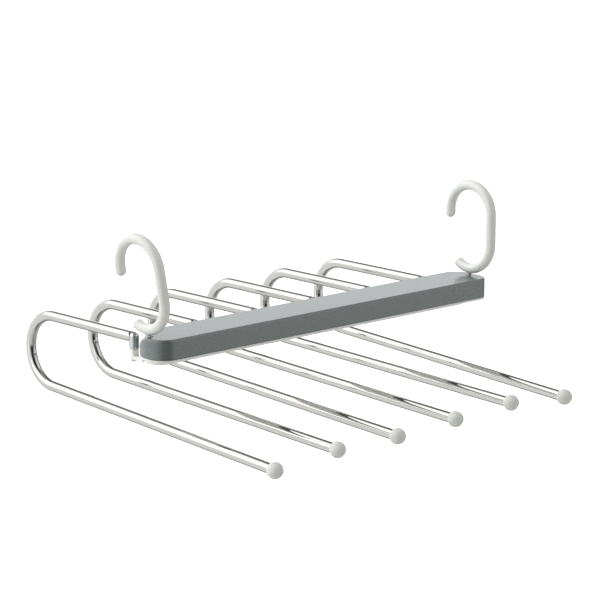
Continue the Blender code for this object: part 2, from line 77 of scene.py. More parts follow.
# Studio: what lights the object and shows in its gloss, in rings from the ground up. Each ring has the two
# elevations between which it takes over from the last, and its stops, each a heading and a level. The angles
# are in degrees.
WHITE_LEVEL = 1.0
NADIR_LEVEL = 0.26
STUDIO_RINGS = (
    (-78, -62, ((-180, 0.66), (-150, 0.92), (-110, 0.96), (-70, 0.76), (-30, 0.62), (0, 0.30), (35, 0.48),
                (70, 0.52), (115, 0.60), (150, 0.28), (168, 0.30), (180, 0.66))),
    (-22, -10, ((-180, 1.08), (-135, 0.94), (-105, 1.25), (-70, 0.78), (-48, 0.16), (-36, 0.02), (-8, 0.02),
                (8, 0.34), (30, 0.74), (42, 0.86), (54, 1.00), (75, 0.42), (105, 0.32), (124, 1.05),
                (180, 1.02))),
    (3, 13, ((-180, 0.90), (-160, 1.00), (-145, 1.75), (-85, 1.65), (-70, 1.00), (-50, 0.16), (-38, 0.02),
             (-20, 0.02), (-8, 0.14), (10, 0.52), (30, 1.00), (50, 0.98), (75, 0.50), (102, 0.34),
             (120, 1.20), (160, 1.25), (180, 0.90))),
    (16, 26, ((-180, 1.15), (-168, 1.75), (-90, 1.75), (-72, 0.95), (-52, 0.12), (-38, 0.01), (-12, 0.01),
              (0, 0.14), (12, 0.44), (30, 1.10), (50, 1.12), (72, 0.60), (88, 0.34), (108, 0.18),
              (130, 0.14), (155, 0.14), (167, 0.36), (180, 1.15))),
    (54, 70, ((-180, 0.34), (-130, 0.70), (-90, 0.46), (-60, 0.16), (-35, 0.03), (-5, 0.03), (30, 0.18),
              (90, 0.34), (130, 0.26), (180, 0.34))),
)

# Arms
LOWER_LEG_FALLS = tuple(math.radians(degrees) for degrees in (3.4, 2.5, 2.7, 2.2, 1.7, 3.0))
ARM_COUNT = len(LOWER_LEG_FALLS)
TUBE_RADIUS = (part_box("tube_1")[1].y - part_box("tube_1")[0].y) / 2
BEND_RADIUS = 0.0295
BALL_RADIUS = (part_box("ball_cap_1")[1].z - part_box("ball_cap_1")[0].z) / 2
BALL_SEAT_DEPTH = 0.001
SEAT_LIP = 0.0002
HINGE_HEAD_RADIUS = (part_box("hinge_head_1")[1].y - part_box("hinge_head_1")[0].y) / 2
HINGE_HEAD_EDGE = 0.0005
PIN_HEAD_RADIUS = (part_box("hinge_pin_1")[1].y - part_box("hinge_pin_1")[0].y) / 2
PIN_RADIUS = 0.00125
PIN_HEAD_HEIGHT = 0.0012
PIN_HEAD_EDGE = 0.0005

# Bar
COVER_HEIGHT = 0.016
COVER_WALL = 0.002
COVER_FILLET = 0.0015
CROWN_INSET = 0.015
CROWN_DROP = 0.0095
CROWN_HEADING = math.radians(-140)
CROWN_SPREAD = math.radians(55)
CORNER_RADIUS = 0.015
HINGE_CORNER_RADIUS = 0.027
LIP_THICKNESS = 0.0018
LIP_EDGE = 0.0005
KEEL_END_INSET = 0.012
KEEL_BACK_INSET = 0.0015
KEEL_WIDTH = 0.0241
KEEL_CORNER_RADIUS = 0.01
KEEL_EDGE = 0.001
LUG_DEPTH = 0.0055
LUG_WIDTH = 0.0065
LUG_EDGE = 0.0006
LUG_CORNER = 0.0012
LUG_FOOT_HEIGHT = 0.0032

# Screws from below
SCREW_COUNT = 4
SCREW_HEAD_RADIUS = (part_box("screw_1")[1].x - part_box("screw_1")[0].x) / 2
SCREW_HEAD_HEIGHT = 0.0018
SCREW_HEAD_EDGE = 0.0004
SCREW_SHANK_RADIUS = 0.0012
SCREW_SLOT_WIDTH = 0.0008
SCREW_SLOT_DEPTH = 0.0009
SCREW_CUP_DEPTH = 0.0025

# Hooks
HOOK_COUNT = 2
HOOK_ROD_RADIUS = (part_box("hook_2")[1].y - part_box("hook_2")[0].y) / 2
HOOK_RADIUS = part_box("hook_2")[1].x - HOOK_ROD_RADIUS
HOOK_UPPER_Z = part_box("hook_2")[1].z - HOOK_ROD_RADIUS - HOOK_RADIUS
HOOK_STRAIGHT = 0.025
HOOK_LOWER_Z = HOOK_UPPER_Z - HOOK_STRAIGHT
HOOK_TIP_DROP = 0.003
HOOK_TAIL_TURN = math.radians(36)
HOOK_TAIL_EDGE = 0.0012
STEM_RADIUS = 0.0021
STEM_ROOT_RADIUS = 0.0026
STEM_ROOT_HEIGHT = 0.0006
STEM_BORE_RADIUS = 0.0029

# Finishes. A grain has its cells for each metre and its height in metres.
GREY_COLOUR = (0.116, 0.136, 0.128, 1.0)
GREY_ROUGHNESS = 0.28
GREY_GRAIN = (2600.0, 0.000003)
GREY_INDEX = 1.9
GREY_COAT = 0.5
TRAY_COLOUR = (0.93, 0.93, 0.90, 1.0)
TRAY_ROUGHNESS = 0.30
TRAY_GRAIN = (2200.0, 0.000006)
TRAY_INDEX = 1.7
HOOK_COLOUR = (0.82, 0.83, 0.79, 1.0)
HOOK_ROUGHNESS = 0.26
HOOK_GRAIN = (1800.0, 0.000005)
HOOK_INDEX = 1.65
HOOK_SUBSURFACE = 0.05
BALL_COLOUR = (0.76, 0.775, 0.73, 1.0)
BALL_ROUGHNESS = 0.5
BALL_GRAIN = (2200.0, 0.00001)
BALL_INDEX = 1.5
STEEL_COLOUR = (0.66, 0.655, 0.635, 1.0)
STEEL_ROUGHNESS = 0.05
PLATED_COLOUR = (0.66, 0.69, 0.72, 1.0)
PLATED_ROUGHNESS = 0.18
PLAIN_COLOUR = (0.56, 0.57, 0.58, 1.0)
PLAIN_ROUGHNESS = 0.3

# Texture of the finishes: scales in cells for each metre, the shares of the colour between which it clouds,
# and how far the roughness goes under and over its value
NOISE_LOW = 0.3
NOISE_HIGH = 0.7
PLASTIC_CLOUD_SCALE = 45.0
PLASTIC_CLOUD_SHARES = (0.97, 1.03)
PLASTIC_SWELL_SCALE = 130.0
PLASTIC_SWELL_TO_GRAIN = 3
PLASTIC_GLOSS_SPREAD = (-0.04, 0.04)
SUBSURFACE_DEPTH = 0.0015
COAT_ROUGHNESS = 0.16
COAT_TINT = (0.92, 0.98, 1.0, 1.0)
TUBE_LINE_SCALES = (18.0, 1600.0, 1.0)
TUBE_LINE_HEIGHT = 0.000002
TUBE_CLOUD_SCALE = 60.0
TUBE_CLOUD_SHARES = (0.97, 1.02)
TUBE_GLOSS_SPREAD = (-0.02, 0.03)
CAST_WAVE_SCALE = 500.0
CAST_WAVE_HEIGHT = 0.00004
CAST_CLOUD_SCALE = 200.0
CAST_CLOUD_SHARES = (0.9, 1.04)
CAST_GLOSS_SPREAD = (-0.04, 0.06)

# Allowances and facets
GAP = 0.0003
OVERRUN = 0.002
WELD = 0.000001
POINT_RADIUS = 0.00001
CORNER_COUNT = 4
ROUND_SIDES = 40
SMALL_SIDES = 28
CORNER_STEPS = 16
FILLET_STEPS = 8
EDGE_STEPS = 3
BEND_STEPS = 40
HOOK_STEPS = 40
TIP_STEPS = 8
LEG_STEPS = 12
SHARP_ANGLE = math.radians(40)

# Places worked out from the frame
PIN_PLACES = [Vector(JOINTS[f"arm_{index + 1}_fold"]["pos_m"]) for index in range(ARM_COUNT)]
STEM_PLACES = [Vector(JOINTS[f"hook_{index + 1}_swivel"]["pos_m"]) for index in range(HOOK_COUNT)]
COVER_LOW, COVER_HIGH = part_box("top_cover")
COVER_TOP_Z = COVER_HIGH.z
COVER_BOTTOM_Z = COVER_TOP_Z - COVER_HEIGHT
LIP_TOP_Z = COVER_BOTTOM_Z - GAP
LIP_BOTTOM_Z = LIP_TOP_Z - LIP_THICKNESS
KEEL_BOTTOM_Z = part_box("lower_tray")[0].z
KEEL_BACK_X = COVER_LOW.x + KEEL_BACK_INSET
ARM_Z = PIN_PLACES[0].z
LUG_TOP_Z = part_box("hinge_head_1")[0].z - GAP


def collection_of(name):
    """Return a new collection in the scene."""
    collection = bpy.data.collections.new(name)
    bpy.context.scene.collection.children.link(collection)
    return collection


def finished(form, name, collection):
    """Return an object of a form, in a collection, and free the form."""
    mesh = bpy.data.meshes.new(name)
    form.to_mesh(mesh)
    form.free()
    obj = bpy.data.objects.new(name, mesh)
    collection.objects.link(obj)
    return obj


def lofted(rings, name):
    """Return an object whose skin runs through rings of points, closed by a face at each end.

    The skin's UVs are metres along it and round it, so that a texture keeps its scale.
    """
    form = bmesh.new()
    uv_layer = form.loops.layers.uv.new("length_and_girth")
    loops = [[form.verts.new(point) for point in ring] for ring in rings]
    travelled = [0.0]
    for first, second in zip(rings, rings[1:]):
        travelled.append(travelled[-1] + max((b - a).length for a, b in zip(first, second)))
    girth = max(sum((ring[index] - ring[index - 1]).length for index in range(len(ring))) for ring in rings)
    sides = len(rings[0])
    for step, (first, second) in enumerate(zip(loops, loops[1:])):
        for index in range(sides):
            after = (index + 1) % sides
            face = form.faces.new((first[index], first[after], second[after], second[index]))
            places = ((step, index), (step, index + 1), (step + 1, index + 1), (step + 1, index))
            for corner, (along, around) in zip(face.loops, places):
                corner[uv_layer].uv = (travelled[along], around / sides * girth)
    form.faces.new(list(reversed(loops[0])))
    form.faces.new(loops[-1])
    bmesh.ops.remove_doubles(form, verts=form.verts, dist=WELD)
    bmesh.ops.recalc_face_normals(form, faces=form.faces)
    return finished(form, name, WORK)


def turned(profile, name, sides=ROUND_SIDES):
    """Return the solid that a profile of (radius, z) points makes round the Z axis."""
    angles = [2 * math.pi * index / sides for index in range(sides)]
    rings = [[Vector((radius * math.cos(angle), radius * math.sin(angle), z)) for angle in angles]
             for radius, z in profile]
    return lofted(rings, name)


def bore(place, radius, bottom, top, sides=SMALL_SIDES):
    """Return an upright round cutter at a place."""
    cutter = turned([(radius, bottom), (radius, top)], "bore", sides)
    cutter.data.transform(Matrix.Translation((place.x, place.y, 0.0)))
    return cutter


def swept(route, radii, name):
    """Return a round rod along (x, z) points in the plane y = 0, with a radius at each point."""
    rings = []
    last = len(route) - 1
    for index, (x, z) in enumerate(route):
        before = Vector(route[max(index - 1, 0)])
        after = Vector(route[min(index + 1, last)])
        along = (after - before).normalized()
        across = Vector((-along.y, 0.0, along.x))
        ring = []
        for side in range(ROUND_SIDES):
            angle = 2 * math.pi * side / ROUND_SIDES
            out = across * math.cos(angle) + Vector((0.0, math.sin(angle), 0.0))
            ring.append(Vector((x, 0.0, z)) + out * radii[index])
        rings.append(ring)
    return lofted(rings, name)


def quarter(radius, steps):
    """Return (inset, drop) pairs round a quarter turn of an edge, from its flat face to its side."""
    turns = [math.pi / 2 * step / steps for step in range(steps + 1)]
    return [(radius * (1 - math.sin(turn)), radius * (1 - math.cos(turn))) for turn in turns]


def rounded_outline(low, high, radii, inset=0.0):
    """Return the points of a rounded rectangle, drawn in by an inset.

    The radii are those of the back near, front near, front far and back far corners before the inset.
    """
    corners = ((low.x, low.y, 1, 1), (high.x, low.y, -1, 1),
               (high.x, high.y, -1, -1), (low.x, high.y, 1, -1))
    points = []
    for index, (x, y, inward_x, inward_y) in enumerate(corners):
        radius = radii[index]
        for step in range(CORNER_STEPS + 1):
            angle = math.pi + (index + step / CORNER_STEPS) * math.pi / 2
            points.append((x + inward_x * radius + (radius - inset) * math.cos(angle),
                           y + inward_y * radius + (radius - inset) * math.sin(angle)))
    return points


def crown_share(step):
    """Return how much of the crown the bar's top has at a step round its outline."""
    corner, along = divmod(step, CORNER_STEPS + 1)
    heading = (corner + along / CORNER_STEPS) * math.pi / 2 - math.pi
    off = min(abs(heading - CROWN_HEADING) / CROWN_SPREAD, 1.0)
    return math.cos(off * math.pi / 2) ** 2


def crowned(low, high, radii):
    """Return a block whose top edge has the cover's fillet, and falls away further by the first hinge."""
    flat = rounded_outline(low, high, radii)
    middle = rounded_outline(low, high, radii, min(radii) / 2)
    rings = [[Vector((x, y, low.z)) for x, y in flat]]
    for inset, drop in reversed(quarter(1.0, FILLET_STEPS)):
        ring = []
        for step, ((x, y), (x_in, y_in)) in enumerate(zip(flat, middle)):
            share = crown_share(step)
            inwards = Vector((x_in - x, y_in - y)).normalized()
            inset_here = inset * (COVER_FILLET + (CROWN_INSET - COVER_FILLET) * share)
            drop_here = drop * (COVER_FILLET + (CROWN_DROP - COVER_FILLET) * share)
            ring.append(Vector((x + inwards.x * inset_here, y + inwards.y * inset_here, high.z - drop_here)))
        rings.append(ring)
    return lofted(rings, "crowned")


def block(low, high, radii, top_edge, bottom_edge, name):
    """Return a block with a rounded outline and rounded edges. An edge of 0 stays sharp."""
    levels = []
    if bottom_edge:
        levels += [(inset, low.z + drop) for inset, drop in quarter(bottom_edge, EDGE_STEPS)]
    else:
        levels.append((0.0, low.z))
    if top_edge:
        levels += [(inset, high.z - drop) for inset, drop in reversed(quarter(top_edge, EDGE_STEPS))]
        levels.append((min(radii) / 2 + top_edge / 2, high.z))
    else:
        levels.append((0.0, high.z))
    rings = [[Vector((x, y, z)) for x, y in rounded_outline(low, high, radii, inset)] for inset, z in levels]
    return lofted(rings, name)


def combined(base, others, operation):
    """Return the base with each of the others cut from it or joined to it, in a mesh of its own."""
    for other in others:
        modifier = base.modifiers.new(operation.lower(), "BOOLEAN")
        modifier.operation = operation
        modifier.solver = "EXACT"
        modifier.object = other
    bpy.context.view_layer.update()
    depsgraph = bpy.context.evaluated_depsgraph_get()
    mesh = bpy.data.meshes.new_from_object(base.evaluated_get(depsgraph))
    name = base.name
    for used in [base] + others:
        bpy.data.objects.remove(used, do_unlink=True)
    obj = bpy.data.objects.new(name, mesh)
    WORK.objects.link(obj)
    return obj


def placed_copy(obj, place, name):
    """Return a copy of a shape that is built about the origin, moved to its place."""
    mesh = obj.data.copy()
    mesh.transform(Matrix.Translation(place))
    copy = bpy.data.objects.new(name, mesh)
    WORK.objects.link(copy)
    return copy


def dressed(obj, name, body, slot, material, *nodes):
    """Finish a piece: its name, smooth shading, material and body, and the nodes that it stands for."""
    WORK.objects.unlink(obj)
    PIECES.objects.link(obj)
    obj.name = name
    obj.data.name = name
    obj.data.shade_smooth()
    obj.data.set_sharp_from_angle(angle=SHARP_ANGLE)
    weighted = obj.modifiers.new("even_flats", "WEIGHTED_NORMAL")
    weighted.keep_sharp = True
    obj.data.materials.clear()
    obj.data.materials.append(material)
    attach(obj, body)
    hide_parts(*nodes)


class Shader:
    """A material's node tree, with short calls for the nodes that the finishes share."""

    def __init__(self, name):
        """Start a material with a Principled shader."""
        self.material = bpy.data.materials.new(name)
        self.material.use_nodes = True
        self.nodes = self.material.node_tree.nodes
        self.links = self.material.node_tree.links
        self.surface = self.nodes["Principled BSDF"]

    def settings(self, **values):
        """Set the surface's own sockets, with underscores for the spaces in their names."""
        for name, value in values.items():
            self.surface.inputs[name.replace("_", " ")].default_value = value

    def place(self, kind="Object", scale=(1.0, 1.0, 1.0)):
        """Return texture coordinates of a kind, stretched by a scale."""
        coordinates = self.nodes.new("ShaderNodeTexCoord")
        mapping = self.nodes.new("ShaderNodeMapping")
        mapping.inputs["Scale"].default_value = scale
        self.links.new(coordinates.outputs[kind], mapping.inputs["Vector"])
        return mapping.outputs["Vector"]

    def noise(self, vector, scale, detail):
        """Return a noise value at a scale in cells for each metre."""
        noise = self.nodes.new("ShaderNodeTexNoise")
        noise.inputs["Scale"].default_value = scale
        noise.inputs["Detail"].default_value = detail
        self.links.new(vector, noise.inputs["Vector"])
        return noise.outputs["Fac"]

    def uneven(self, noise, roughness, spread):
        """Return a roughness that a noise takes under and over its value by a spread."""
        ranged = self.nodes.new("ShaderNodeMapRange")
        ranged.inputs["From Min"].default_value = NOISE_LOW
        ranged.inputs["From Max"].default_value = NOISE_HIGH
        ranged.inputs["To Min"].default_value = roughness + spread[0]
        ranged.inputs["To Max"].default_value = roughness + spread[1]
        self.links.new(noise, ranged.inputs["Value"])
        return ranged.outputs["Result"]

    def clouded(self, noise, colour, shares):
        """Return a colour that a noise takes between two shares of itself."""
        mix = self.nodes.new("ShaderNodeMix")
        mix.data_type = "RGBA"
        mix.inputs["A"].default_value = shade_of(colour, shares[0])
        mix.inputs["B"].default_value = shade_of(colour, shares[1])
        self.links.new(noise, mix.inputs["Factor"])
        return mix.outputs["Result"]

    def bump(self, value, height, below=None):
        """Return a normal with a bump of a height in metres, over another bump if one is given."""
        bump = self.nodes.new("ShaderNodeBump")
        bump.inputs["Distance"].default_value = height
        self.links.new(value, bump.inputs["Height"])
        if below is not None:
            self.links.new(below, bump.inputs["Normal"])
        return bump.outputs["Normal"]

    def joined(self, **sockets):
        """Link values to the surface's sockets and return the material."""
        for name, value in sockets.items():
            self.links.new(value, self.surface.inputs[name.replace("_", " ")])
        return self.material


def shade_of(colour, share):
    """Return a colour made lighter or darker by a share."""
    return tuple(channel * share for channel in colour[:3]) + (1.0,)


def moulded_plastic(name, colour, roughness, grain, index, subsurface=0.0, coat=0.0):
    """Return a moulded plastic: faint clouding, a fine grain and a slight unevenness of its gloss."""
    shader = Shader(name)
    grain_scale, grain_height = grain
    place = shader.place()
    cloud = shader.noise(place, PLASTIC_CLOUD_SCALE, detail=3.0)
    fine = shader.noise(place, grain_scale, detail=2.0)
    swell = shader.noise(place, PLASTIC_SWELL_SCALE, detail=1.0)
    shader.settings(Subsurface_Weight=subsurface, Subsurface_Scale=SUBSURFACE_DEPTH, IOR=index,
                    Coat_Weight=coat, Coat_Roughness=COAT_ROUGHNESS, Coat_Tint=COAT_TINT)
    skin = shader.bump(fine, grain_height, shader.bump(swell, grain_height * PLASTIC_SWELL_TO_GRAIN))
    return shader.joined(Base_Color=shader.clouded(cloud, colour, PLASTIC_CLOUD_SHARES),
                         Roughness=shader.uneven(fine, roughness, PLASTIC_GLOSS_SPREAD), Normal=skin)


def polished_steel(name, colour, roughness):
    """Return polished stainless steel with faint lines along the tube, left by drawing and buffing."""
    shader = Shader(name)
    along = shader.place("UV", TUBE_LINE_SCALES)
    lines = shader.noise(along, scale=1.0, detail=3.0)
    cloud = shader.noise(shader.place(), TUBE_CLOUD_SCALE, detail=2.0)
    shader.settings(Metallic=1.0)
    return shader.joined(Base_Color=shader.clouded(cloud, colour, TUBE_CLOUD_SHARES),
                         Roughness=shader.uneven(lines, roughness, TUBE_GLOSS_SPREAD),
                         Normal=shader.bump(lines, TUBE_LINE_HEIGHT))


def cast_metal(name, colour, roughness):
    """Return plated die-cast metal, slightly wavy."""
    shader = Shader(name)
    place = shader.place()
    wave = shader.noise(place, CAST_WAVE_SCALE, detail=1.0)
    cloud = shader.noise(place, CAST_CLOUD_SCALE, detail=3.0)
    shader.settings(Metallic=1.0)
    return shader.joined(Base_Color=shader.clouded(cloud, colour, CAST_CLOUD_SHARES),
                         Roughness=shader.uneven(cloud, roughness, CAST_GLOSS_SPREAD),
                         Normal=shader.bump(wave, CAST_WAVE_HEIGHT))


def arm_route(number, fall):
    """Return an arm's centre line from its pin to its ball, as (x, z) points about the pin."""
    pin_x = PIN_PLACES[number - 1].x
    bend_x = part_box(f"tube_{number}")[0].x + TUBE_RADIUS + BEND_RADIUS - pin_x
    end_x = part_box(f"ball_cap_{number}")[1].x - BALL_RADIUS - pin_x
    points = [(bend_x * step / LEG_STEPS, 0.0) for step in range(LEG_STEPS)]
    turn = math.pi - fall
    for step in range(BEND_STEPS + 1):
        angle = step / BEND_STEPS * turn
        points.append((bend_x - BEND_RADIUS * math.sin(angle), BEND_RADIUS * (math.cos(angle) - 1)))
    start_x, start_z = points[-1]
    run = end_x - start_x
    for step in range(1, LEG_STEPS + 1):
        travelled = run * step / LEG_STEPS
        points.append((start_x + travelled, start_z - travelled * math.tan(fall)))
    return points


def make_tube_and_ball(number, fall):
    """Return an arm's tube and ball, built about its pin."""
    route = arm_route(number, fall)
    end = Vector(route[-1])
    away = (end - Vector(route[-2])).normalized()
    reach = route[:-1] + [tuple(end + away * BALL_SEAT_DEPTH)]
    tube = swept(reach, [TUBE_RADIUS] * len(reach), "tube")
    cope = bore(Vector(), HINGE_HEAD_RADIUS + GAP / 2, -2 * TUBE_RADIUS, 2 * TUBE_RADIUS, ROUND_SIDES)
    tube = combined(tube, [cope], "DIFFERENCE")

    seat = TUBE_RADIUS + GAP / 2
    mouth = math.acos(seat / BALL_RADIUS)
    turns = [-math.pi / 2 + (mouth + math.pi / 2) * step / SMALL_SIDES for step in range(SMALL_SIDES + 1)]
    profile = [(BALL_RADIUS * math.cos(turn), BALL_RADIUS * math.sin(turn)) for turn in turns[1:]]
    profile += [(seat, profile[-1][1] - SEAT_LIP), (seat, -BALL_SEAT_DEPTH - GAP)]
    ball = turned(profile, "ball")
    lean = Matrix.Rotation(fall - math.pi / 2, 4, "Y")
    ball.data.transform(Matrix.Translation((end.x, 0.0, end.y)) @ lean)
    return tube, ball


def make_head_and_pin():
    """Return an arm's hinge head and pin, built about the pin."""
    radius = HINGE_HEAD_RADIUS
    foot = LUG_TOP_Z + GAP - ARM_Z
    turns = [math.pi / 2 * (1 - step / FILLET_STEPS) for step in range(FILLET_STEPS)]
    dome = [(radius * math.cos(turn) + POINT_RADIUS, radius * math.sin(turn)) for turn in turns]
    dome += [(radius, 0.0), (radius, foot + HINGE_HEAD_EDGE), (radius - HINGE_HEAD_EDGE, foot)]
    head = turned(dome, "head")

    under = KEEL_BOTTOM_Z - GAP - ARM_Z
    edge = PIN_HEAD_EDGE
    bottom = under - PIN_HEAD_HEIGHT
    pin = turned([(PIN_RADIUS, foot + edge), (PIN_RADIUS, under), (PIN_HEAD_RADIUS - edge / 2, under),
                  (PIN_HEAD_RADIUS, under - edge / 2), (PIN_HEAD_RADIUS, bottom + edge),
                  (PIN_HEAD_RADIUS - edge, bottom)], "pin", SMALL_SIDES)
    return head, pin


def make_arms(steel, ball_plastic, plated, plain):
    """Make the arms at their pins."""
    head, pin = make_head_and_pin()
    finishes = (("arm_tube", "tube", "tube", steel),
                ("arm_ball", "ball_cap", "ball", ball_plastic),
                ("arm_hinge", "hinge_head", "hinge_metal", plated),
                ("arm_pin", "hinge_pin", "fastener", plain))
    for number, (place, fall) in enumerate(zip(PIN_PLACES, LOWER_LEG_FALLS), 1):
        tube, ball = make_tube_and_ball(number, fall)
        for shape, (name, node, slot, material) in zip((tube, ball, head, pin), finishes):
            piece = placed_copy(shape, place, name)
            dressed(piece, f"{name}_{number}", f"arm_{number}", slot, material, f"{node}_{number}")
        for shape in (tube, ball):
            bpy.data.objects.remove(shape, do_unlink=True)
    for shape in (head, pin):
        bpy.data.objects.remove(shape, do_unlink=True)


def hook_route():
    """Return a hook's centre line from its tip to its tail, as (x, z) points, and its radii."""
    route = []
    radii = []
    tip_z = HOOK_UPPER_Z - HOOK_TIP_DROP
    for step in range(TIP_STEPS):
        turn = math.pi / 2 * (1 - step / TIP_STEPS)
        route.append((-HOOK_RADIUS, tip_z - HOOK_ROD_RADIUS * math.sin(turn)))
        radii.append(HOOK_ROD_RADIUS * math.cos(turn) + POINT_RADIUS)
    for step in range(HOOK_STEPS + 1):
        angle = math.pi * (1 - step / HOOK_STEPS)
        route.append((HOOK_RADIUS * math.cos(angle), HOOK_UPPER_Z + HOOK_RADIUS * math.sin(angle)))
    sweep = math.pi / 2 + HOOK_TAIL_TURN
    for step in range(HOOK_STEPS + 1):
        angle = -sweep * step / HOOK_STEPS
        route.append((HOOK_RADIUS * math.cos(angle), HOOK_LOWER_Z + HOOK_RADIUS * math.sin(angle)))
    radii += [HOOK_ROD_RADIUS] * (len(route) - len(radii))
    end = Vector(route[-1])
    away = (end - Vector(route[-2])).normalized()
    route.pop()
    radii.pop()
    for inset, drop in reversed(quarter(HOOK_TAIL_EDGE, EDGE_STEPS)):
        route.append(tuple(end - away * drop))
        radii.append(HOOK_ROD_RADIUS - inset)
    return route, radii


def make_hooks(white, plain):
    """Make the two hooks at their stems."""
    route, radii = hook_route()
    rod = swept(route, radii, "hook")
    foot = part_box("hook_2")[0].z
    root = HOOK_LOWER_Z - HOOK_RADIUS - HOOK_ROD_RADIUS
    stem = turned([(STEM_ROOT_RADIUS, root + STEM_ROOT_HEIGHT), (STEM_ROOT_RADIUS, root),
                   (STEM_RADIUS, root - STEM_ROOT_HEIGHT), (STEM_RADIUS, foot)], "stem", SMALL_SIDES)
    stem.data.transform(Matrix.Translation((STEM_PLACES[0].x, 0.0, 0.0)))
    hook = combined(rod, [stem], "UNION")
    upright = Vector((0.0, 0.0, 1.0))
    for number, place in enumerate(STEM_PLACES, 1):
        lean = upright.rotation_difference(Vector(JOINTS[f"hook_{number}_swivel"]["axis"]))
        about = Matrix.Translation((place.x, 0.0, place.z))
        piece = placed_copy(hook, Vector(), "hook_form")
        piece.data.transform(about @ lean.to_matrix().to_4x4() @ about.inverted())
        piece.data.transform(Matrix.Translation((0.0, place.y, 0.0)))
        dressed(piece, f"hook_form_{number}", f"hook_{number}_body", "hook", white, f"hook_{number}")
        clip = frame["nodes"][f"hook_clip_{number}"]
        clip.data.materials.clear()
        clip.data.materials.append(plain)
    bpy.data.objects.remove(hook, do_unlink=True)


def bar_radii():
    """Return the bar's four corner radii."""
    return (HINGE_CORNER_RADIUS, CORNER_RADIUS, CORNER_RADIUS, CORNER_RADIUS)


def make_cover(grey):
    """Make the grey cover: a shell with a soft top edge and a hole for each stem."""
    low = Vector((COVER_LOW.x, COVER_LOW.y, COVER_BOTTOM_Z))
    cover = crowned(low, COVER_HIGH, bar_radii())
    wall = Vector((COVER_WALL, COVER_WALL, 0.0))
    inner_radii = [radius - COVER_WALL for radius in bar_radii()]
    cutters = [crowned(low + wall - Vector((0.0, 0.0, OVERRUN)),
                       COVER_HIGH - wall - Vector((0.0, 0.0, COVER_WALL)), inner_radii)]
    hole_bottom_z = COVER_TOP_Z - COVER_WALL - OVERRUN
    for place in STEM_PLACES:
        cutters.append(bore(place, STEM_BORE_RADIUS, hole_bottom_z, COVER_TOP_Z + OVERRUN))
    dressed(combined(cover, cutters, "DIFFERENCE"), "bar_cover", "bar", "cover", grey, "top_cover")


def screw_places():
    """Return the places of the screws' axes."""
    boxes = [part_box(f"screw_{number}") for number in range(1, SCREW_COUNT + 1)]
    return [(low + high) / 2 for low, high in boxes]


def make_tray(white):
    """Make the white tray: its lip, its keel, a lug for each arm and a cup for each screw."""
    lip_low = Vector((COVER_LOW.x, COVER_LOW.y, LIP_BOTTOM_Z))
    lip_high = Vector((COVER_HIGH.x, COVER_HIGH.y, LIP_TOP_Z))
    lip = block(lip_low, lip_high, bar_radii(), LIP_EDGE / 2, LIP_EDGE, "tray")
    middle_z = (LIP_BOTTOM_Z + LIP_TOP_Z) / 2
    keel_low = Vector((KEEL_BACK_X, COVER_LOW.y + KEEL_END_INSET, KEEL_BOTTOM_Z))
    keel_high = Vector((KEEL_BACK_X + KEEL_WIDTH, COVER_HIGH.y - KEEL_END_INSET, middle_z))
    joined = [block(keel_low, keel_high, [KEEL_CORNER_RADIUS] * CORNER_COUNT, 0.0, KEEL_EDGE, "keel")]
    cuts = []
    half = Vector((LUG_DEPTH / 2, LUG_WIDTH / 2, 0.0))
    lug_radii = [LUG_CORNER] * CORNER_COUNT
    foot_radii = [LUG_EDGE] * CORNER_COUNT
    for place in PIN_PLACES:
        foot_at = Vector((place.x, place.y, KEEL_BOTTOM_Z))
        top_at = Vector((place.x, place.y, LUG_TOP_Z))
        joined.append(block(foot_at - half, top_at + half, lug_radii, LUG_EDGE / 2, LUG_EDGE, "lug"))
        foot_high = Vector((KEEL_BACK_X + KEEL_CORNER_RADIUS / 2, place.y + LUG_WIDTH / 2 - LUG_EDGE / 2,
                            KEEL_BOTTOM_Z + LUG_FOOT_HEIGHT))
        foot_low = foot_at - Vector((0.0, LUG_WIDTH / 2 - LUG_EDGE / 2, 0.0))
        joined.append(block(foot_low, foot_high, foot_radii, LUG_EDGE / 2, LUG_EDGE / 2, "foot"))
        cuts.append(bore(place, PIN_RADIUS + GAP, KEEL_BOTTOM_Z - OVERRUN, LUG_TOP_Z + OVERRUN))
    cup_top_z = KEEL_BOTTOM_Z + SCREW_CUP_DEPTH
    for place in screw_places():
        cuts.append(bore(place, SCREW_HEAD_RADIUS + GAP, KEEL_BOTTOM_Z - OVERRUN, cup_top_z))
    tray = combined(combined(lip, joined, "UNION"), cuts, "DIFFERENCE")
    dressed(tray, "bar_tray", "bar", "tray", white, "lower_tray")


def make_screws(plain):
    """Make the slotted screws under the tray."""
    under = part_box("screw_1")[0].z
    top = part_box("screw_1")[1].z
    shoulder = under + SCREW_HEAD_HEIGHT
    edge = SCREW_HEAD_EDGE
    profile = [(SCREW_SHANK_RADIUS, top), (SCREW_SHANK_RADIUS, shoulder), (SCREW_HEAD_RADIUS, shoulder),
               (SCREW_HEAD_RADIUS, under + edge), (SCREW_HEAD_RADIUS - edge, under)]
    slot_low = Vector((-SCREW_HEAD_RADIUS - OVERRUN, -SCREW_SLOT_WIDTH / 2, under - OVERRUN))
    slot_high = Vector((SCREW_HEAD_RADIUS + OVERRUN, SCREW_SLOT_WIDTH / 2, under + SCREW_SLOT_DEPTH))
    slot = block(slot_low, slot_high, [SCREW_SLOT_WIDTH / 4] * CORNER_COUNT, 0.0, 0.0, "slot")
    screw = combined(turned(profile, "screw", SMALL_SIDES), [slot], "DIFFERENCE")
    for number, place in enumerate(screw_places(), 1):
        piece = placed_copy(screw, Vector((place.x, place.y, 0.0)), "bar_screw")
        dressed(piece, f"bar_screw_{number}", "bar", "fastener", plain, f"screw_{number}")
    bpy.data.objects.remove(screw, do_unlink=True)


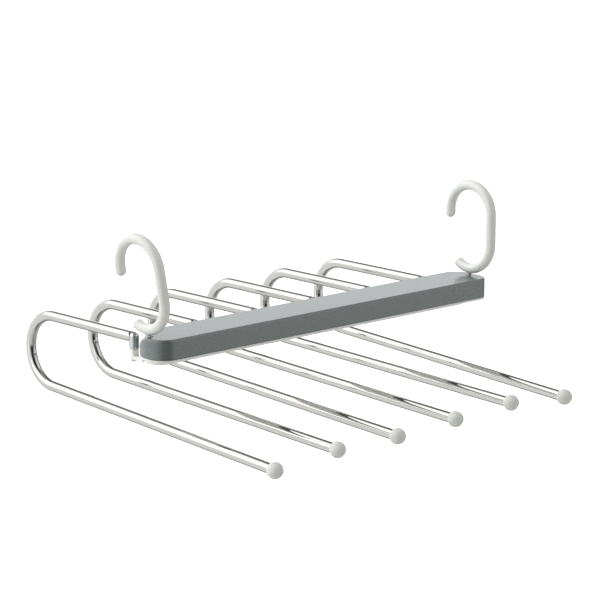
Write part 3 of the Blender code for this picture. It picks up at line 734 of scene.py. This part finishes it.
def shown_plainly(nodes, links):
    """Return a value of 1 for rays that come from the camera, straight or through something clear."""
    rays = nodes.new("ShaderNodeLightPath")
    shown = nodes.new("ShaderNodeMath")
    shown.operation = "MAXIMUM"
    links.new(rays.outputs["Is Camera Ray"], shown.inputs[0])
    links.new(rays.outputs["Is Transmission Ray"], shown.inputs[1])
    return shown.outputs["Value"]


def grey_of(level):
    """Return a level as a colour."""
    return (level, level, level, 1.0)


def make_floor():
    """Make the plain pale floor. To the camera it is as white as the backdrop, less the rack's shadow."""
    form = bmesh.new()
    bmesh.ops.create_grid(form, x_segments=1, y_segments=1, size=FLOOR_SIZE / 2)
    floor = finished(form, "floor", bpy.context.scene.collection)
    floor.location.z = FLOOR_Z
    shader = Shader("pale_floor")
    shader.settings(Base_Color=FLOOR_COLOUR, Roughness=FLOOR_ROUGHNESS, Emission_Color=grey_of(WHITE_LEVEL))
    glow = shader.nodes.new("ShaderNodeMath")
    glow.operation = "MULTIPLY"
    glow.inputs[1].default_value = FLOOR_GLOW
    shader.links.new(shown_plainly(shader.nodes, shader.links), glow.inputs[0])
    floor.data.materials.append(shader.joined(Emission_Strength=glow.outputs["Value"]))
    floor.visible_glossy = False


def make_camera():
    """Make the camera where the photograph was taken from."""
    camera = bpy.data.cameras.new("camera")
    camera.lens = CAMERA_LENS
    camera.sensor_width = SENSOR_WIDTH
    camera.sensor_fit = "HORIZONTAL"
    obj = bpy.data.objects.new("camera", camera)
    turn = Matrix.Rotation(CAMERA_AZIMUTH, 4, "Z") @ Matrix.Rotation(math.pi / 2 - CAMERA_ELEVATION, 4, "X")
    obj.matrix_world = Matrix.Translation(CAMERA_PLACE) @ turn @ Matrix.Rotation(CAMERA_ROLL, 4, "Z")
    bpy.context.scene.collection.objects.link(obj)
    bpy.context.scene.camera = obj


def make_lamp(name, place, size, power):
    """Make a square soft lamp that faces the rack."""
    lamp = bpy.data.lights.new(name, "AREA")
    lamp.shape = "SQUARE"
    lamp.size = size
    lamp.energy = power
    obj = bpy.data.objects.new(name, lamp)
    obj.location = place
    obj.rotation_euler = Vector(place).to_track_quat("Z", "Y").to_euler()
    obj.visible_glossy = False
    bpy.context.scene.collection.objects.link(obj)


def make_world():
    """Make the surroundings: white to the camera, and a studio of bright and dark screens all round."""
    world = bpy.data.worlds.new("studio")
    bpy.context.scene.world = world
    world.use_nodes = True
    nodes = world.node_tree.nodes
    links = world.node_tree.links
    nodes.clear()
    separate = nodes.new("ShaderNodeSeparateXYZ")
    links.new(nodes.new("ShaderNodeTexCoord").outputs["Generated"], separate.inputs["Vector"])
    heading = nodes.new("ShaderNodeMath")
    heading.operation = "ARCTAN2"
    links.new(separate.outputs["Y"], heading.inputs[0])
    links.new(separate.outputs["X"], heading.inputs[1])
    around = nodes.new("ShaderNodeMapRange")
    around.inputs["From Min"].default_value = -math.pi
    around.inputs["From Max"].default_value = math.pi
    links.new(heading.outputs["Value"], around.inputs["Value"])

    def mixed(factor, first, second):
        """Return a mix of two colours, each a level or another node's output."""
        mix = nodes.new("ShaderNodeMix")
        mix.data_type = "RGBA"
        links.new(factor, mix.inputs["Factor"])
        for socket, colour in (("A", first), ("B", second)):
            if isinstance(colour, float):
                mix.inputs[socket].default_value = grey_of(colour)
            else:
                links.new(colour, mix.inputs[socket])
        return mix.outputs["Result"]

    studio = NADIR_LEVEL
    for low, high, stops in STUDIO_RINGS:
        ramp = nodes.new("ShaderNodeValToRGB")
        links.new(around.outputs["Result"], ramp.inputs["Fac"])
        for index, (degrees, level) in enumerate(stops):
            elements = ramp.color_ramp.elements
            element = elements[index] if index < len(elements) else elements.new(1.0)
            element.position = degrees / 360 + 0.5
            element.color = grey_of(level)
        rise = nodes.new("ShaderNodeMapRange")
        rise.interpolation_type = "SMOOTHSTEP"
        rise.inputs["From Min"].default_value = math.sin(math.radians(low))
        rise.inputs["From Max"].default_value = math.sin(math.radians(high))
        links.new(separate.outputs["Z"], rise.inputs["Value"])
        studio = mixed(rise.outputs["Result"], studio, ramp.outputs["Color"])

    background = nodes.new("ShaderNodeBackground")
    links.new(mixed(shown_plainly(nodes, links), studio, WHITE_LEVEL), background.inputs["Color"])
    output = nodes.new("ShaderNodeOutputWorld")
    links.new(background.outputs["Background"], output.inputs["Surface"])


PIECES = collection_of("multi_tier_trouser_hanger")
WORK = collection_of("cutters")
GREY = moulded_plastic("grey_plastic", GREY_COLOUR, GREY_ROUGHNESS, GREY_GRAIN, GREY_INDEX, coat=GREY_COAT)
TRAY_WHITE = moulded_plastic("tray_plastic", TRAY_COLOUR, TRAY_ROUGHNESS, TRAY_GRAIN, TRAY_INDEX)
HOOK_WHITE = moulded_plastic("hook_plastic", HOOK_COLOUR, HOOK_ROUGHNESS, HOOK_GRAIN, HOOK_INDEX,
                             subsurface=HOOK_SUBSURFACE)
BALL_GREY = moulded_plastic("ball_plastic", BALL_COLOUR, BALL_ROUGHNESS, BALL_GRAIN, BALL_INDEX)
STEEL = polished_steel("polished_steel", STEEL_COLOUR, STEEL_ROUGHNESS)
PLATED = cast_metal("plated_metal", PLATED_COLOUR, PLATED_ROUGHNESS)
PLAIN = cast_metal("plain_steel", PLAIN_COLOUR, PLAIN_ROUGHNESS)

make_camera()
make_cover(GREY)
make_tray(TRAY_WHITE)
make_screws(PLAIN)
make_arms(STEEL, BALL_GREY, PLATED, PLAIN)
make_hooks(HOOK_WHITE, PLAIN)
make_floor()
for lamp_values in LAMPS:
    make_lamp(*lamp_values)
make_world()
bpy.context.scene.view_settings.view_transform = "Standard"
